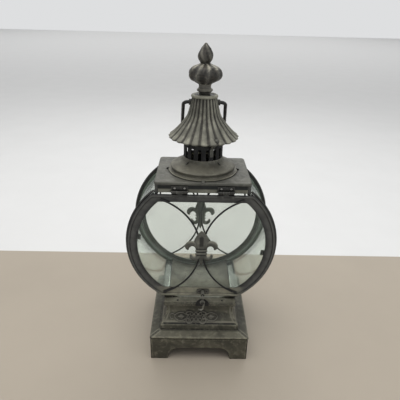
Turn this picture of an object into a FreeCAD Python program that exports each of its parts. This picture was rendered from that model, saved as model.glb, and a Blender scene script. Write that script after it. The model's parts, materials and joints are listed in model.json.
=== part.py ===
"""Hurricane candle lantern: a round glass drum on a square bracket-foot base, under a roof with a fluted cowl.

Millimetres, +Z up, the front door towards -Y. The origin is under the middle of the base, on the table.
The drum is a short cylinder lying along Y, cut flat at its top and bottom. Its front is a door that hinges
upward from the roof, its back is a fixed frame, and its sides are two bent panes of glass.
"""
import FreeCAD, Part
import math
import os

V = FreeCAD.Vector
X, Y, Z = V(1, 0, 0), V(0, 1, 0), V(0, 0, 1)

# ---- driving dimensions -------------------------------------------------------------------------
SHEET = 1.2                      # sheet metal
GLASS = 2.0                      # pane thickness

# base
PLINTH_X, PLINTH_Y = 62.0, 65.0  # half width and half depth at the feet
PLINTH_TOP = 33.4                # top edge of the apron sheets
ARCH_HALF, ARCH_FOOT, ARCH_R, ARCH_TOP = 26.0, 40.5, 13.0, 18.0
MOULD_LIP, MOULD_LEDGE = 34.8, 38.2
BAND_INSET, BAND_TOP = 12.0, 45.6
COVE_FOOT, COVE_MID, COVE_TOP = (13.0, 47.2), (19.8, 64.0), (18.0, 74.5)   # (inset, height)
TRAY_X, TRAY_Y, TRAY_LOW, TRAY_TOP = 45.2, 50.5, 74.5, 80.0

# drum, in the XZ plane around (0, DRUM_Z)
DRUM_Z = 158.0
SKIN_R = 85.2                    # outside of the side glass and of the curved floor
COLLAR_IN, COLLAR_OUT = 85.3, 86.5
FLOOR_ANGLE = 62.4               # the floor spans this far down from the horizontal on each side
RIM_R, RIM_BEAD = 88.7, 1.3      # fixed front rim: centre line and radius of its wired edge
RIM_HOLE, RIM_TOP = 83.0, 222.0
REAR_R, REAR_TOP = 88.1, 231.0
EDGE_END_X = 55.0                # where a fixed frame's wired edge stops, beside the fascia
BEAD_R = 1.9                     # wired edge of the door and of the rear frame
BEAD_PATH = (86.0, 222.5, 86.4)  # door edge's centre line: (radius, flat top, flat bottom)
BAND_INNER = (76.0, 215.2, 97.0)
PANE_R, PANE_TOP, PANE_LOW = 80.5, 217.0, 91.0
DOOR_Y, RIM_Y, REAR_Y = -41.5, -38.6, 40.6
COLLAR_DEEP = 2.4                # how far the collars reach along the side glass
WIRE_R, WIRE_BOW, WIRE_APEX, WIRE_Z = 1.1, 68.2, 1.3, 154.0

# roof
FASCIA_X, FASCIA_Y, FASCIA_BACK, FASCIA_LOW = 50.0, 40.4, 40.0, 226.1
ROOF_X, ROOF_Y, ROOF_LOW, ROOF_TOP = 54.2, 43.7, 235.8, 239.6
CHIMNEY_R, CHIMNEY_LOW, CHIMNEY_TOP, SLOTS, SLOT_W = 22.7, 253.4, 274.0, 16, 3.6
COWL_FLUTES = 24
COWL = [(14.3, 324.0), (15.7, 318.0), (17.2, 311.5), (19.6, 304.5), (24.0, 297.8), (31.0, 289.8),
        (40.8, 281.0)]           # (radius at the ridges, height)

# hinge, latch and handle
HINGE_Y, HINGE_Z, HINGE_X, LEAF_W = -42.9, 227.5, 26.0, 18.0
KNUCKLE_R, PIN_R, RUN = 1.9, 0.9, 0.08
LATCH_X, LATCH_Z, KEEPER_Z, HOOK_LEAN = 3.0, 82.4, 91.8, 12.6
PIVOT_Z, BAIL_R, BAIL_REST, BAIL_LEN = 318.6, 2.0, 43.0, 76.0

parts = {}


# ---- helpers ------------------------------------------------------------------------------------
def box(x0, x1, y0, y1, z0, z1):
    return Part.makeBox(x1 - x0, y1 - y0, z1 - z0, V(x0, y0, z0))


def prism(points, height_vector):
    """A closed outline of points, and arcs given as (via, end) pairs, pushed along a vector."""
    edges, here = [], points[0]
    for p in points[1:] + [points[0]]:
        if isinstance(p, tuple):
            edges.append(Part.Arc(here, p[0], p[1]).toShape())
            here = p[1]
        elif (p - here).Length > 1e-6:
            edges.append(Part.LineSegment(here, p).toShape())
            here = p
    return Part.Face(Part.Wire(edges)).extrude(height_vector)


def turned(points):
    """Solid of revolution about Z from (r, z) points, with ((r, z), (r, z)) pairs as arcs."""
    edges, here = [], V(points[0][0], 0, points[0][1])
    for p in points[1:] + [points[0]]:
        if isinstance(p[0], tuple):
            via, end = (V(a, 0, b) for a, b in p)
            edges.append(Part.Arc(here, via, end).toShape())
            here = end
        else:
            end = V(p[0], 0, p[1])
            if (end - here).Length > 1e-6:
                edges.append(Part.LineSegment(here, end).toShape())
            here = end
    return Part.Face(Part.Wire(edges)).revolve(V(0, 0, 0), Z, 360)


def fuse(shapes):
    whole = shapes[0]
    if len(shapes) > 1:
        whole = whole.multiFuse(shapes[1:]).removeSplitter()
    return whole


def spun(shape, degrees):
    other = shape.copy()
    other.rotate(V(0, 0, 0), Z, degrees)
    return other


def mirrored(shape):
    return shape.mirror(V(0, 0, 0), X)


def tube(edges, radius):
    """Round bar along lines and circular arcs that meet smoothly."""
    pieces = []
    for e in edges:
        start, curve = e.valueAt(e.FirstParameter), e.Curve
        disc = Part.Face(Part.Wire(Part.makeCircle(radius, start, e.tangentAt(e.FirstParameter))))
        if isinstance(curve, Part.Circle):
            sweep = math.degrees(e.Length / curve.Radius)
            pieces.append(disc.revolve(curve.Center, e.tangentAt(e.FirstParameter).cross(
                curve.Center - start).normalize(), sweep))
        else:
            pieces.append(disc.extrude(e.valueAt(e.LastParameter) - start))
    return fuse(pieces)


def bent_path(points, radii):
    """Edges of a polyline whose inner corners are rounded to the given radii."""
    edges, here = [], points[0]
    for corner, after, radius in zip(points[1:-1], points[2:], radii):
        a = (here - corner).normalize()
        b = (after - corner).normalize()
        half = a.getAngle(b) / 2
        back = radius / math.tan(half)
        start, end = corner + a * back, corner + b * back
        middle = (a + b).normalize()
        via = corner + middle * (radius / math.sin(half) - radius)
        edges += [Part.LineSegment(here, start).toShape(), Part.Arc(start, via, end).toShape()]
        here = end
    return edges + [Part.LineSegment(here, points[-1]).toShape()]


def drum_outline(size, y, top_corner=7.0, low_corner=3.0):
    """Edges of the drum's section at depth y: a circle cut flat at its top and bottom, corners rounded."""
    radius, top, low = size
    right = []
    for level, q, side in ((top, top_corner, 1), (low, low_corner, -1)):
        cz = level - side * q - DRUM_Z
        cx = math.sqrt((radius - q) ** 2 - cz ** 2)
        on_flat = V(cx, y, level)
        on_round = V(cx * radius / (radius - q), y, DRUM_Z + cz * radius / (radius - q))
        centre = V(cx, y, DRUM_Z + cz)
        via = centre + ((on_flat - centre) + (on_round - centre)).normalize() * q
        right.append((on_flat, via, on_round))
    (flat_t, via_t, round_t), (flat_b, via_b, round_b) = right

    def flip(p):
        return V(-p.x, p.y, p.z)

    equator = V(radius, y, DRUM_Z)
    return [
        Part.LineSegment(flip(flat_t), flat_t).toShape(),
        Part.Arc(flat_t, via_t, round_t).toShape(),
        Part.Arc(round_t, equator, round_b).toShape(),
        Part.Arc(round_b, via_b, flat_b).toShape(),
        Part.LineSegment(flat_b, flip(flat_b)).toShape(),
        Part.Arc(flip(flat_b), flip(via_b), flip(round_b)).toShape(),
        Part.Arc(flip(round_b), flip(equator), flip(round_t)).toShape(),
        Part.Arc(flip(round_t), flip(via_t), flip(flat_t)).toShape(),
    ]


def drum_plate(size, y, depth, **corners):
    return Part.Face(Part.Wire(drum_outline(size, y, **corners))).extrude(V(0, depth, 0))


def drum_disc(radius, y, depth):
    return Part.makeCylinder(radius, depth, V(0, y, DRUM_Z), Y)


def drum_arc(r_in, r_out, angle_0, angle_1, y0, y1):
    """Part of a tube around the drum's axis, angles in degrees up from +X."""
    a0, a1 = math.radians(angle_0), math.radians(angle_1)
    am = (a0 + a1) / 2

    def at(r, a):
        return V(r * math.cos(a), y0, DRUM_Z + r * math.sin(a))

    return prism([at(r_in, a0), at(r_out, a0), (at(r_out, am), at(r_out, a1)), at(r_in, a1),
                  (at(r_in, am), at(r_in, a0))], V(0, y1 - y0, 0))


def rivet(at, out, head_r, shank_r, length):
    """A round-headed rivet at a surface point, its shank going in against the outward direction."""
    out = V(out).normalize()
    flat = FreeCAD.Matrix()
    flat.scale(1, 1, 0.55)
    head = Part.makeSphere(head_r, V(0, 0, 0), Z, 0, 90).transformGeometry(flat)
    head.Placement = FreeCAD.Placement(at, FreeCAD.Rotation(Z, out))
    return head.fuse(Part.makeCylinder(shank_r, length, at, out * -1)).removeSplitter()


def lobed_ring(radius, z, lobes, depth, steps=6, twist=0.0, drop=0.0):
    """Closed wavy curve of ridges and valleys: radius at the ridges, depth less in the valleys."""
    points = []
    for i in range(lobes * steps):
        turn = 2 * math.pi * i / (lobes * steps)
        ridge = abs(math.cos(lobes * turn / 2))
        r = radius - depth * (1 - ridge)
        points.append(V(r * math.cos(turn + twist), r * math.sin(turn + twist), z - drop * ridge))
    curve = Part.BSplineCurve()
    curve.interpolate(Points=points, PeriodicFlag=True)
    return curve.toShape()


def lobed_solid(stations, lobes, twist_per_mm=0.0):
    """Solid lofted through (radius, z, valley depth) stations of a lobed turning."""
    low = stations[0][1]
    wires = [Part.Wire(lobed_ring(r, z, lobes, d, twist=twist_per_mm * (z - low))) for r, z, d in stations]
    return Part.makeLoft(wires, True, False)


# ---- base ---------------------------------------------------------------------------------------
def mitre_wedge(side):
    """The quarter of the base that one side's panels may fill: front, right, back or left."""
    reach = 6.0
    apex = PLINTH_Y - PLINTH_X
    px, py = PLINTH_X + reach, PLINTH_Y + reach
    corners = {
        "front": [(-px, -py), (px, -py), (0, -apex)],
        "back": [(px, py), (-px, py), (0, apex)],
        "right": [(px, -py), (px, py), (0, apex), (0, -apex)],
        "left": [(-px, py), (-px, -py), (0, -apex), (0, apex)],
    }[side]
    return prism([V(a, b, -1) for a, b in corners], V(0, 0, 120))


def on_side(side, points):
    """(across, inset, z) points placed on one side of the base, inset measured in from the plinth's face."""
    placed = []
    for across, inset, z in points:
        if side == "front":
            placed.append(V(across, -PLINTH_Y + inset, z))
        elif side == "back":
            placed.append(V(-across, PLINTH_Y - inset, z))
        elif side == "right":
            placed.append(V(PLINTH_X - inset, across, z))
        else:
            placed.append(V(-PLINTH_X + inset, -across, z))
    return placed


def plinth_apron(side):
    """One sheet of the plinth, cut away under its middle to leave two bracket feet."""
    reach = 80.0
    corners = [(-reach, 0, 0), (reach, 0, 0), (reach, 0, PLINTH_TOP), (-reach, 0, PLINTH_TOP)]
    inward = on_side(side, [(0, SHEET, 0)])[0] - on_side(side, [(0, 0, 0)])[0]
    sheet = prism(on_side(side, corners), inward)
    knee = ARCH_TOP - ARCH_R
    k = ARCH_R * math.sqrt(0.5)
    left = [(-ARCH_FOOT, -1), (-ARCH_FOOT, 0), (-ARCH_HALF - ARCH_R, knee), (-ARCH_HALF - k, knee + k),
            (-ARCH_HALF, ARCH_TOP)]
    flat = [(a, -1, z) for a, z in left] + [(-a, -1, z) for a, z in reversed(left)]
    p = on_side(side, flat)
    arch = prism([p[0], p[1], p[2], (p[3], p[4]), p[5], (p[6], p[7]), p[8], p[9]], inward * 3)
    return sheet.cut(arch).common(mitre_wedge(side))


def base_panel(side):
    """One pressed moulding: a lip, a nearly flat ledge, an upright band and a hollow curve up to the tray."""
    reach = 80.0

    def outline(shift, drop):
        path = [(-0.6, MOULD_LIP), (-0.6, MOULD_LIP + 1.4), (BAND_INSET, MOULD_LEDGE), (BAND_INSET, BAND_TOP),
                COVE_FOOT, COVE_MID, COVE_TOP]
        return on_side(side, [(-reach, inset + shift, z - drop) for inset, z in path])

    outer, inner = outline(0, 0), outline(SHEET, SHEET)
    loop = outer[:5] + [(outer[5], outer[6])] + [inner[6], (inner[5], inner[4])] + inner[3::-1]
    along = on_side(side, [(reach, 0, 0)])[0] - on_side(side, [(-reach, 0, 0)])[0]
    return prism(loop, along).common(mitre_wedge(side))


for name in ("front", "back", "left", "right"):
    parts["plinth_" + name] = plinth_apron(name)
    parts["base_panel_" + name] = base_panel(name)


def open_pan(hx, hy, low, top, corner, edge):
    """A sheet pressed into a shallow upside-down pan."""
    outer = box(-hx, hx, -hy, hy, low, top)
    upright = [e for e in outer.Edges if abs(e.tangentAt(e.FirstParameter).z) > 0.9]
    outer = outer.makeFillet(corner, upright)
    rim = [e for e in outer.Edges if e.BoundBox.ZMin > top - 0.01]
    outer = outer.makeFillet(edge, rim)
    inner = box(-hx + SHEET, hx - SHEET, -hy + SHEET, hy - SHEET, low - 1, top - SHEET)
    return outer.cut(inner)


tray_rivets = Part.makeCompound([
    rivet(V(sx * 28.0, -46.0, TRAY_TOP), Z, 1.5, 0.8, SHEET + 1.0) for sx in (-1, 1)])
tray = open_pan(TRAY_X, TRAY_Y, TRAY_LOW, TRAY_TOP, 2.0, 1.0).cut(
    [tray_rivets, box(-36, 36, RIM_Y - 1.2, REAR_Y + 1.2, TRAY_LOW, TRAY_TOP + 1)])
parts["tray_rivets"] = tray_rivets


# ---- drum: fixed front rim, rear frame, floor and glass -------------------------------------------
def wired_arc(radius, bead, y):
    """Wired edge of a fixed end frame: a round bar from the tray up each side to the roof."""
    drop = DRUM_Z - TRAY_TOP - bead
    foot = V(math.sqrt(radius ** 2 - drop ** 2), y, DRUM_Z - drop)
    head = V(EDGE_END_X, y, DRUM_Z + math.sqrt(radius ** 2 - EDGE_END_X ** 2))
    right = tube([Part.Arc(foot, V(radius, y, DRUM_Z), head).toShape()], bead)
    return [right, mirrored(right)]


def end_frame(y, radius, bead, top, hole):
    """Fixed round frame at one end of the drum; its lower part drops through the tray to close the floor."""
    y0 = y - SHEET / 2
    upper = drum_disc(radius, y0, SHEET).common(box(-100, 100, y0 - 1, y0 + 2, TRAY_TOP, top))
    lower = drum_disc(COLLAR_OUT, y0, SHEET).common(box(-34.5, 34.5, y0 - 1, y0 + 2, 60, TRAY_TOP + 1))
    posts = [box(FASCIA_X + 0.05, FASCIA_X + 3.8, y0, y0 + SHEET, RIM_TOP - 1, ROOF_LOW - 0.1)]
    posts.append(mirrored(posts[0]))
    return fuse([upper, lower] + posts).cut(hole), wired_arc(radius, bead, y)


def collars(y0):
    """Curved lips around the outside of both side panes, at one end of the drum."""
    right = drum_arc(COLLAR_IN, COLLAR_OUT, -61.0, 50.0, y0, y0 + COLLAR_DEEP)
    return [right, mirrored(right)]


rim_plate, rim_edges = end_frame(RIM_Y, RIM_R, RIM_BEAD, RIM_TOP, drum_disc(RIM_HOLE, RIM_Y - 1, 2))
rim_plate = rim_plate.cut(box(-FASCIA_X, FASCIA_X, RIM_Y - 1, RIM_Y + 1, 218.6, 240))
rim_tabs = [box(x - 0.9, x + 0.9, RIM_Y - SHEET / 2, RIM_Y + SHEET / 2, 217.6, 229.0)
            for x in (-47.5, -6, 6, 47.5)]
rim_rail = box(-58.0, 58.0, RIM_Y - SHEET / 2, RIM_Y + SHEET / 2, 217.6, RIM_TOP - 0.6)
RIM_BACK = RIM_Y + SHEET / 2
parts["drum_front_rim"] = fuse([rim_plate, rim_rail] + rim_tabs + rim_edges + collars(RIM_BACK))


def face_hole(y):
    """The clear opening of the rear frame: round, cut flat at the top only."""
    return drum_disc(BAND_INNER[0], y - 2, 4).common(box(-90, 90, y - 3, y + 3, 60, BAND_INNER[1]))


REAR_IN = REAR_Y - SHEET / 2
rear_plate, rear_edges = end_frame(REAR_Y, REAR_R, BEAD_R, REAR_TOP, face_hole(REAR_Y))
parts["rear_frame"] = fuse([rear_plate] + rear_edges + collars(REAR_IN - COLLAR_DEEP))
parts["rear_glass"] = drum_disc(PANE_R, REAR_IN - 0.1 - GLASS, GLASS).common(
    box(-90, 90, 0, 60, 60, PANE_TOP))

skin_y0, skin_y1 = RIM_BACK + 0.1, REAR_IN - 0.1
side_glass = drum_arc(SKIN_R - GLASS, SKIN_R, -FLOOR_ANGLE + 0.7, 53.4, skin_y0, skin_y1)
parts["side_glass_right"] = side_glass
parts["side_glass_left"] = mirrored(side_glass)
parts["drum_floor"] = drum_arc(SKIN_R - SHEET, SKIN_R, -180.0 + FLOOR_ANGLE, -FLOOR_ANGLE, skin_y0, skin_y1)


def bent_clip(y_face, inward, angle, edge=PANE_R, aside=0.0):
    """A little tab folded over the edge of a flat pane; inward is +1 towards +Y, aside is along the edge."""
    wide, thick = 3.5, 0.8
    reach = GLASS + 0.2 + thick
    leaf = box(edge - 8.0, edge + 0.9, GLASS + 0.2, reach, aside - wide, aside + wide)
    foot = box(edge + 0.1, edge + 0.9, 0.01, reach, aside - wide, aside + wide)
    clip = leaf.fuse(foot).removeSplitter()
    if inward < 0:
        clip = clip.mirror(V(0, 0, 0), Y)
    clip.rotate(V(0, 0, 0), Y, -angle)
    clip.translate(V(0, y_face, DRUM_Z))
    return clip


DOOR_IN = DOOR_Y + SHEET / 2
parts["door_glass_clips"] = Part.makeCompound([bent_clip(DOOR_IN, 1, a) for a in (-8.0, 173.0)])
parts["rear_glass_clips"] = Part.makeCompound([
    bent_clip(REAR_IN, -1, 90.0, PANE_TOP - DRUM_Z, aside) for aside in (-26.0, 26.0)])


# Rests that carry the long edges of the side glass, under the roof and on the tray.
REST_Y = 35.0
top_rest = drum_arc(COLLAR_IN, COLLAR_OUT, 50.2, 54.05, -REST_Y, REST_Y)
low_rest = fuse([drum_arc(COLLAR_IN, COLLAR_OUT, -FLOOR_ANGLE + 0.4, -56.0, -REST_Y, REST_Y),
                 box(43.2, 44.4, -REST_Y, REST_Y, TRAY_TOP, 84.2)])
parts["top_rests"] = Part.makeCompound([top_rest, mirrored(top_rest)])
parts["low_rest_right"] = low_rest
parts["low_rest_left"] = mirrored(low_rest)


def bowed_wire(y):
    """Right-hand one of the two wires that bow towards each other across a round frame."""
    cx = WIRE_APEX + WIRE_BOW
    ends = []
    for z in (218.4, 90.0):
        ends.append(V(cx - math.sqrt(WIRE_BOW ** 2 - (z - WIRE_Z) ** 2), y, z))
    return tube([Part.Arc(ends[0], V(WIRE_APEX, y, WIRE_Z), ends[1]).toShape()], WIRE_R)


def petal(half, low, top, y0, thick):
    """A pointed oval standing on end."""
    middle = (low + top) / 2
    return prism([V(0, y0, low), (V(half, y0, middle), V(0, y0, top)), (V(-half, y0, middle), V(0, y0, low))],
                 V(0, thick, 0))


def curl(cx, cz, radius, start, sweep, bar, y):
    """Right-hand curled arm: a round bar on an arc with ball ends."""
    def at(degrees):
        a = math.radians(degrees)
        return V(cx + radius * math.cos(a), y, cz + radius * math.sin(a))

    arc = Part.Arc(at(start), at(start + sweep / 2), at(start + sweep)).toShape()
    return tube([arc], bar).fuse([Part.makeSphere(bar, at(start)), Part.makeSphere(bar, at(start + sweep))])


def fleur(y, out):
    """Lily ornament on the face of depth y, standing out along out (-1 front, +1 back)."""
    thick = 3.4
    y0 = y if out > 0 else y - thick
    bar_y = y + out * 1.9
    arm = curl(12.6, 158.6, 5.4, 170.0, -190.0, 1.9, bar_y)
    tail = curl(8.6, 146.6, 4.6, 190.0, 165.0, 1.4, bar_y)
    root = prism([V(2.0, y0, 155.5), V(8.6, y0, 162.6), V(5.5, y0, 165.0), V(0, y0, 163.0)], V(0, thick, 0))
    root_low = prism([V(0, y0, 149.0), V(4.6, y0, 149.0), V(3.6, y0, 143.0), V(0, y0, 141.0)], V(0, thick, 0))
    half = [arm, tail, root, root_low]
    bands = [tube([Part.LineSegment(V(-6.0, bar_y, z), V(6.0, bar_y, z)).toShape()], 1.9) for z in (154.0, 149.6)]
    return fuse([petal(6.6, 146.0, 181.5, y0, thick), petal(2.9, 132.5, 150.0, y0, thick)]
                + bands + half + [mirrored(s) for s in half])


def face_set(prefix, y_face, out):
    wire = bowed_wire(y_face + out * WIRE_R)
    parts[prefix + "_wires"] = Part.makeCompound([wire, mirrored(wire)])
    parts[prefix + "_fleur"] = fleur(y_face + out * (2 * WIRE_R + 0.02), out)


face_set("rear", REAR_Y + SHEET / 2, 1)
face_set("door", DOOR_Y - SHEET / 2, -1)

# ---- door ---------------------------------------------------------------------------------------
def round_frame(y):
    """Flat band with a wired outer edge, cut flat at its top and bottom."""
    band = drum_plate(BEAD_PATH, y - SHEET / 2, SHEET).cut(
        drum_plate(BAND_INNER, y - SHEET, 2 * SHEET, top_corner=3.0, low_corner=2.0))
    return fuse([band, tube(drum_outline(BEAD_PATH, y), BEAD_R)])


door_frame = round_frame(DOOR_Y)
parts["door_glass"] = drum_disc(PANE_R, DOOR_IN + 0.1, GLASS).common(box(-90, 90, -60, 0, PANE_LOW, PANE_TOP))

# ---- roof ---------------------------------------------------------------------------------------
FASCIA_HIGH = ROOF_LOW + 2.0
fascia_front = box(-FASCIA_X, FASCIA_X, -FASCIA_Y, -FASCIA_Y + SHEET, FASCIA_LOW, FASCIA_HIGH)
fascia_side = box(FASCIA_X - SHEET, FASCIA_X, -FASCIA_Y + SHEET, FASCIA_BACK - SHEET, FASCIA_LOW, FASCIA_HIGH)
parts["fascia_back"] = box(-FASCIA_X, FASCIA_X, FASCIA_BACK - SHEET, FASCIA_BACK, FASCIA_LOW, FASCIA_HIGH)
parts["fascia_right"] = fascia_side
parts["fascia_left"] = mirrored(fascia_side)


def roof_plate():
    """Flat roof sheet with a thick rolled edge, rounded corners and a flue hole."""
    plate = box(-ROOF_X, ROOF_X, -ROOF_Y, ROOF_Y, ROOF_LOW, ROOF_TOP)
    plate = plate.makeFillet(4.5, [e for e in plate.Edges if abs(e.tangentAt(e.FirstParameter).z) > 0.9])
    flat_edges = [e for e in plate.Edges if e.BoundBox.ZLength < 0.01]
    plate = plate.makeFillet(1.7, flat_edges)
    roll = 3.2
    under = box(-ROOF_X + roll, ROOF_X - roll, -ROOF_Y + roll, ROOF_Y - roll, ROOF_LOW - 1, ROOF_LOW + 2.0)
    return plate.cut([under, Part.makeCylinder(20.5, 20, V(0, 0, ROOF_LOW - 5))])


dome = turned([(41.0, ROOF_TOP), (41.0, ROOF_TOP + 1.0), (38.2, ROOF_TOP + 1.5), ((37.6, 243.0), (36.2, 246.0)),
               ((31.5, 251.0), (23.0, 253.4)), (21.3, 253.4), (21.3, 252.0), ((30.4, 249.6), (34.6, 245.6)),
               ((36.0, 242.6), (36.6, ROOF_TOP))])
parts["roof_plate"] = roof_plate()


# Tabs pushed up through slots in the roof sheet and folded over the dome's foot.
roof_tab = prism([V(41.1, -1.6, ROOF_TOP), V(43.4, -1.6, ROOF_TOP), V(42.6, -1.6, 241.4), V(40.6, -1.6, 241.9),
                  V(40.6, -1.6, 240.9), V(41.1, -1.6, 240.7)], V(0, 3.2, 0))
roof_tabs = [spun(roof_tab, turn) for turn in (0, 90, 180, 270)]


def chimney():
    """Pierced gallery with a closed top, the vent for the hot air."""
    wall = turned([(CHIMNEY_R, CHIMNEY_LOW), (CHIMNEY_R, CHIMNEY_TOP), (0, CHIMNEY_TOP),
                   (0, CHIMNEY_TOP - SHEET), (CHIMNEY_R - SHEET, CHIMNEY_TOP - SHEET),
                   (CHIMNEY_R - SHEET, CHIMNEY_LOW)])
    slot = box(CHIMNEY_R - 4, CHIMNEY_R + 2, -SLOT_W / 2, SLOT_W / 2, 257.0, 270.0)
    slots = [spun(slot, 360.0 * (i + 0.5) / SLOTS) for i in range(SLOTS)]
    return wall.cut(slots + [Part.makeCylinder(2.5, 10, V(0, 0, CHIMNEY_TOP - 5))])


def chimney_tab(degrees):
    """A foot of the gallery, bent flat on the dome."""
    tab = prism([V(CHIMNEY_R + 0.02, -0.8, 253.5), V(28.0, -0.8, 252.5), V(28.0, -0.8, 253.3),
                 V(CHIMNEY_R + 0.02, -0.8, 254.6)], V(0, 1.6, 0))
    return spun(tab, degrees)


gallery = chimney()
parts["dome"] = dome
chimney_tabs = [chimney_tab(turn).cut(dome) for turn in (45, 135, 225, 315)]
parts["folded_tabs"] = Part.makeCompound(roof_tabs + chimney_tabs)


def fluted_skin(shrink):
    """Face of the cowl's fluted bell, and its two end curves."""
    curves = []
    last = len(COWL) - 1
    for i, (radius, z) in enumerate(COWL):
        share = i / last
        curves.append(lobed_ring(radius - shrink, z - shrink * share, COWL_FLUTES,
                                 1.0 + 1.9 * share, drop=1.6 * share ** 6))
    skin = Part.makeLoft([Part.Wire(c) for c in curves], False, False)
    return skin.Faces[0], curves[0], curves[-1]


def cowl():
    """Fluted bell of thin sheet, closed between its outer and inner skins."""
    outer, top_out, low_out = fluted_skin(0.0)
    inner, top_in, low_in = fluted_skin(SHEET)
    shell = Part.makeCompound([outer, inner, Part.makeRuledSurface(top_out, top_in),
                               Part.makeRuledSurface(low_out, low_in)])
    shell.sewShape(0.01)
    solid = Part.Solid(shell.Shells[0])
    if solid.Volume < 0:
        solid.reverse()
    return solid


bell = cowl()
RIVET_TURNS = (-67.5, 112.5)


def cowl_rivet(turn):
    """Rivet through a valley of the flare, square to its slope."""
    return spun(rivet(V(35.2, 0, 283.9), V(0.66, 0, 0.75), 2.3, 1.1, 4.6), turn)


def cowl_strap(turn):
    """Bent strap from the gallery out to the underside of the flare."""
    r0, w = CHIMNEY_R + 0.02, 1.9
    path = [(r0, 262.0), (r0 + 1.2, 262.0), (r0 + 1.2, 270.6), (34.9, 280.0), (34.1, 280.9), (r0, 271.6)]
    return spun(prism([V(r, -w, z) for r, z in path], V(0, 2 * w, 0)), turn)


cowl_rivets = Part.makeCompound([cowl_rivet(a) for a in RIVET_TURNS])
straps = Part.makeCompound([cowl_strap(a).cut(cowl_rivet(a)) for a in RIVET_TURNS])
parts["cowl_rivets"] = cowl_rivets
parts["cowl_straps"] = straps
parts["chimney"] = gallery

# Collar: rolled ring and flat cap that close the top of the bell and carry the finial.
collar = turned([(2.45, 324.4), (11.0, 324.4), (11.0, 324.05), (14.2, 324.05), ((15.1, 325.5), (14.3, 327.0)),
                 (12.8, 327.6), (11.6, 326.8), (2.45, 326.8)])
parts["cowl_collar"] = collar

# ---- finial -------------------------------------------------------------------------------------
neck = turned([(0, 326.8), (8.8, 326.8), ((9.4, 328.4), (8.7, 330.4)), (7.3, 331.6), ((6.3, 334.5), (7.2, 337.6)),
               (0, 337.6)])
melon = lobed_solid([(7.0, 337.6, 0.3), (12.6, 340.0, 1.4), (16.6, 343.8, 2.2), (17.8, 348.4, 2.5),
                     (16.5, 353.0, 2.2), (12.0, 356.8, 1.5), (6.6, 359.4, 0.4)], 8)
bud = lobed_solid([(5.2, 359.4, 0.2), (6.2, 361.4, 0.4), (8.4, 364.8, 0.9), (8.8, 368.4, 1.0), (7.6, 372.6, 0.9),
                   (5.0, 376.6, 0.6), (2.0, 379.2, 0.1), (0.8, 380.0, 0.0)], 6, twist_per_mm=0.035)
ROD_R = 2.4
rod = Part.makeCylinder(ROD_R, 352.0 - 266.0, V(0, 0, 266.0))
parts["finial_neck"] = neck.cut(rod)
parts["finial_melon"] = melon.cut(rod)
parts["finial_bud"] = bud
parts["finial_rod"] = rod
parts["rod_sleeve"] = Part.makeCylinder(4.4, 324.4 - CHIMNEY_TOP, V(0, 0, CHIMNEY_TOP)).cut(rod)


def hexagon_nut(low, high, across_flats, bore):
    r = across_flats / math.sqrt(3)
    points = [V(r * math.cos(math.radians(60 * i)), r * math.sin(math.radians(60 * i)), low) for i in range(6)]
    return prism(points, V(0, 0, high - low)).cut(Part.makeCylinder(bore, high - low + 2, V(0, 0, low - 1)))


parts["finial_nut"] = hexagon_nut(268.8, CHIMNEY_TOP - SHEET, 8.0, ROD_R)


# ---- hinges -------------------------------------------------------------------------------------
def hinge(cx):
    """Fixed leaf, moving leaf, pin and rivets of one hinge centred at cx."""
    x0, x1 = cx - LEAF_W / 2, cx + LEAF_W / 2
    third = LEAF_W / 3
    leaf_front = -FASCIA_Y - 1.0

    def knuckle(a, b):
        return Part.makeCylinder(KNUCKLE_R, b - a, V(a, HINGE_Y, HINGE_Z), X)

    bore = Part.makeCylinder(PIN_R + RUN, LEAF_W + 4, V(x0 - 2, HINGE_Y, HINGE_Z), X)
    gap = 0.15
    fixed = fuse([box(x0, x1, leaf_front, -FASCIA_Y, HINGE_Z + 0.6, 234.2),
                  knuckle(x0, x0 + third - gap), knuckle(x1 - third + gap, x1),
                  box(x0, x0 + third - gap, HINGE_Y, leaf_front + 0.5, HINGE_Z + 0.9, HINGE_Z + KNUCKLE_R),
                  box(x1 - third + gap, x1, HINGE_Y, leaf_front + 0.5, HINGE_Z + 0.9, HINGE_Z + KNUCKLE_R)])
    clear = Part.makeCylinder(KNUCKLE_R + 0.4, third + 2 * gap, V(x0 + third - gap, HINGE_Y, HINGE_Z), X)
    rivets = [rivet(V(cx + s * 5.5, leaf_front, 231.6), V(0, -1, 0), 1.3, 0.7, 2.6) for s in (-1, 1)]
    fixed = fixed.cut([bore, clear] + rivets)
    saddle = Part.makeCylinder(BEAD_R + 0.8, LEAF_W, V(x0, DOOR_Y, BEAD_PATH[1]), X)
    keep = box(x0, x1, DOOR_Y - 5, DOOR_Y + 1.2, BEAD_PATH[1] - 0.8, BEAD_PATH[1] + 5)
    bead_bar = Part.makeCylinder(BEAD_R, LEAF_W + 2, V(x0 - 1, DOOR_Y, BEAD_PATH[1]), X)
    web = box(x0 + third + gap, x1 - third - gap, HINGE_Y - 0.5, HINGE_Y + 1.0, BEAD_PATH[1] + 1.0, HINGE_Z)
    moving = fuse([saddle.common(keep), knuckle(x0 + third + gap, x1 - third - gap), web]).cut([bead_bar, bore])
    pin = Part.makeCylinder(PIN_R, LEAF_W + 1.0, V(x0 - 0.5, HINGE_Y, HINGE_Z), X)
    return fixed, moving, pin, rivets


hinge_rivets, pins = [], []
for side, cx in (("left", -HINGE_X), ("right", HINGE_X)):
    fixed, moving, pin, rivets = hinge(cx)
    parts["hinge_leaf_" + side] = fixed
    parts["door_leaf_" + side] = moving
    hinge_rivets += rivets
    pins.append(pin)
parts["hinge_rivets"] = Part.makeCompound(hinge_rivets)
parts["hinge_pins"] = Part.makeCompound(pins)
parts["fascia_front"] = fascia_front.cut(hinge_rivets)

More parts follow.
